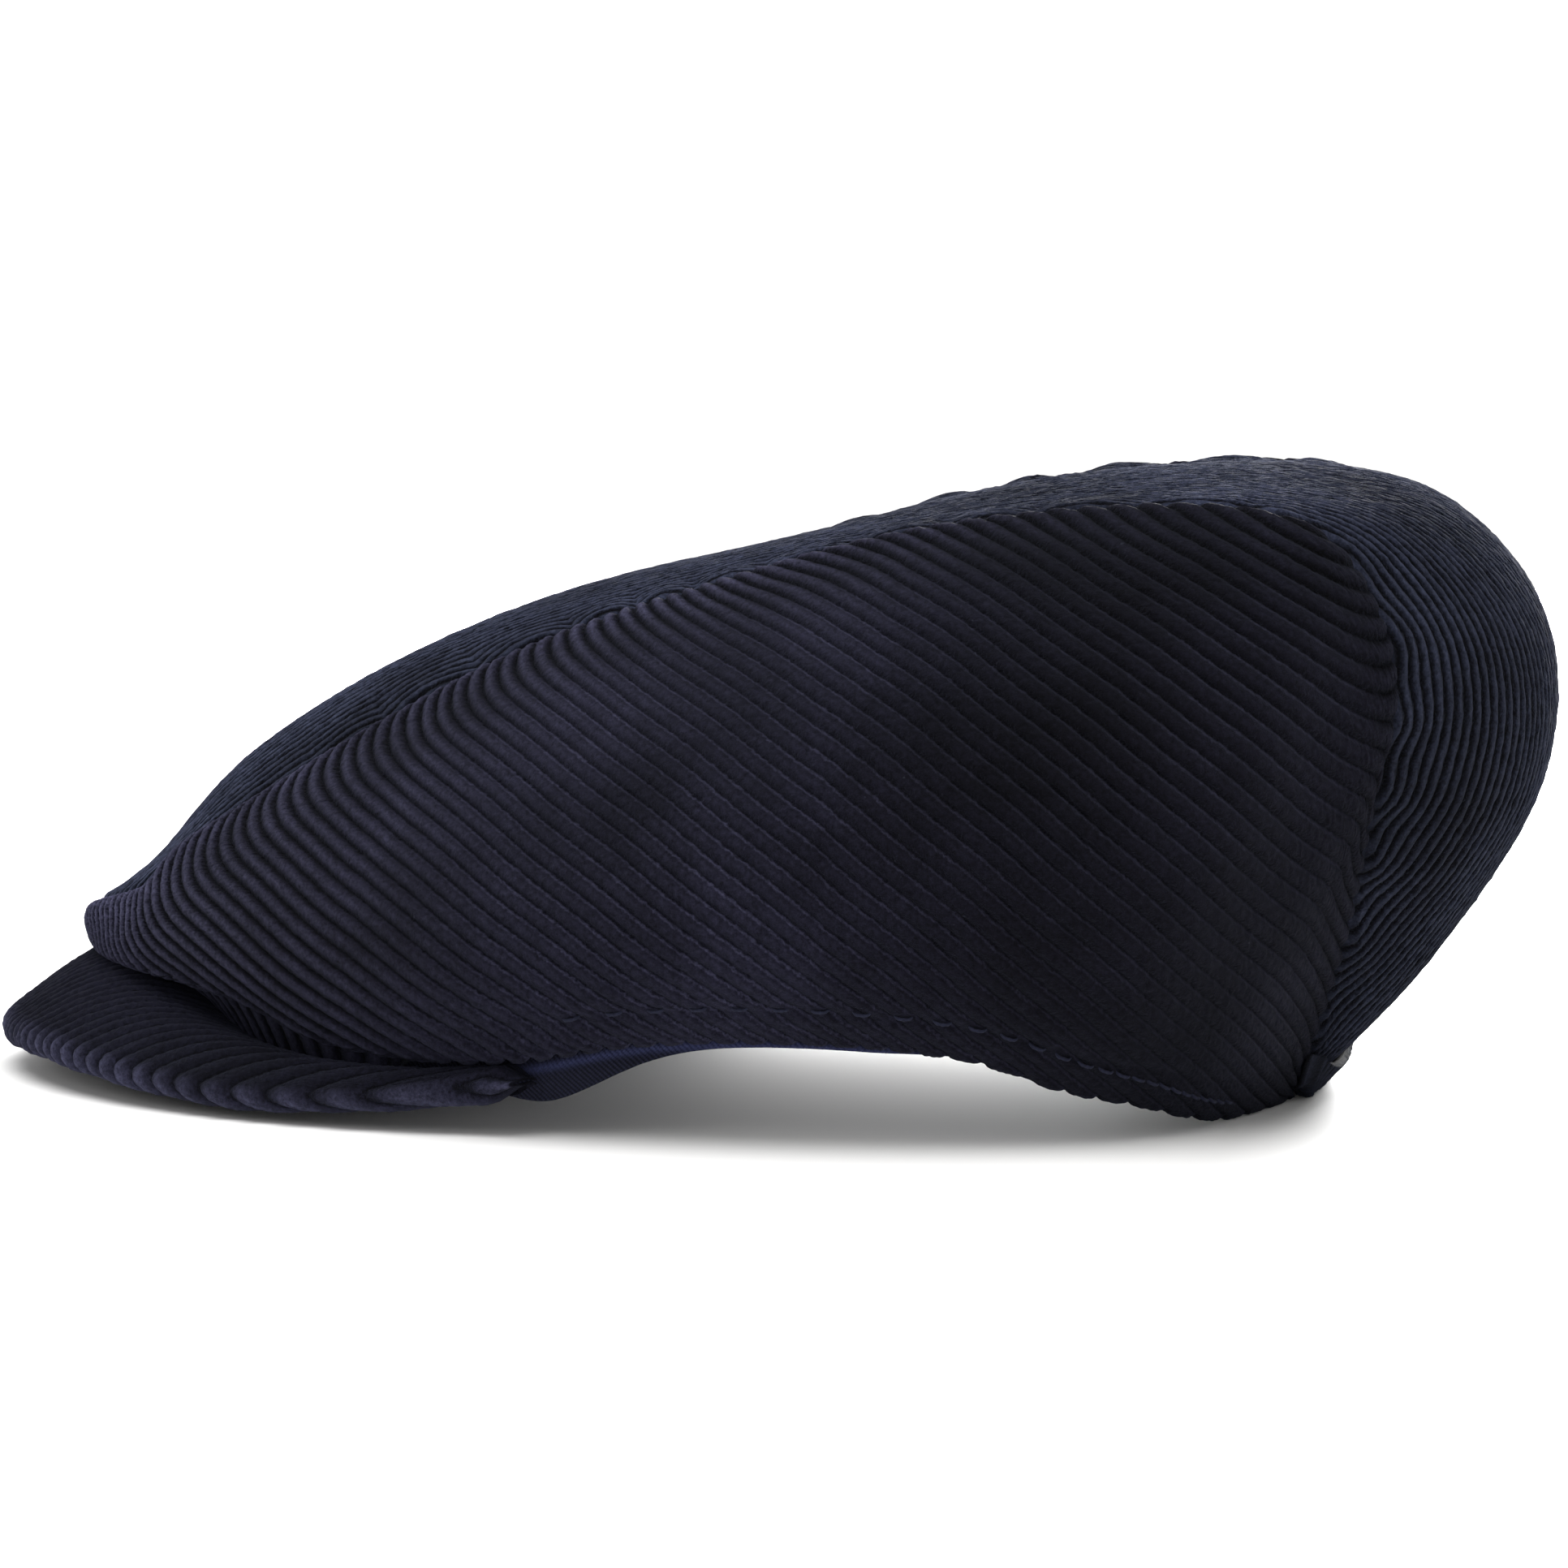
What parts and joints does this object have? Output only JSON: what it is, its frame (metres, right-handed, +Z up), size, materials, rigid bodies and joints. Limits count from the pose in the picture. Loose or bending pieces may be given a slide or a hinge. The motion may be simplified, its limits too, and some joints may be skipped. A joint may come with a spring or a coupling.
{
  "type": "corduroy flat cap",
  "caption": "Soft three-panel corduroy flat cap with a padded crown, short rolled-edge visor, twill-tape sweatband and satin lining.",
  "frame": {"origin": "centre of the cap's footprint on the floor it rests on", "axes": "+Z up, -Y towards the visor and the wearer's front, +X towards the wearer's left"},
  "size_m": [0.2024, 0.2864, 0.1119],
  "materials": {
    "corduroy_centre": "wide-wale cotton corduroy, navy",
    "corduroy_side": "wide-wale cotton corduroy, navy",
    "corduroy_visor": "wide-wale cotton corduroy, navy",
    "visor_board": "matt moulded sheet",
    "twill_tape": "navy cotton twill tape with a blue selvage",
    "interlining": "charcoal needled felt",
    "satin_lining": "navy satin",
    "woven_label": "blank damask weave",
    "tag_tape": "blank printed-label tape",
    "blue_thread": "spun polyester thread",
    "navy_thread": "spun polyester thread"
  },
  "bodies": {
    "root": {"centre_panel": "corduroy_centre", "left_side_panel": "corduroy_side", "right_side_panel": "corduroy_side", "visor_top_cover": "corduroy_visor", "visor_under_cover": "corduroy_visor", "visor_board": "visor_board", "sweatband": "twill_tape", "sweatband_join": "twill_tape", "interlining_centre": "interlining", "interlining_left": "interlining", "interlining_right": "interlining", "lining_centre": "satin_lining", "lining_left": "satin_lining", "lining_right": "satin_lining", "woven_label": "woven_label", "size_tag": "tag_tape", "care_label": "tag_tape", "hem_stitches": "blue_thread", "visor_tacks": "navy_thread", "band_stitches": "navy_thread", "visor_edge_stitches": "navy_thread"}
  },
  "joints": []
}
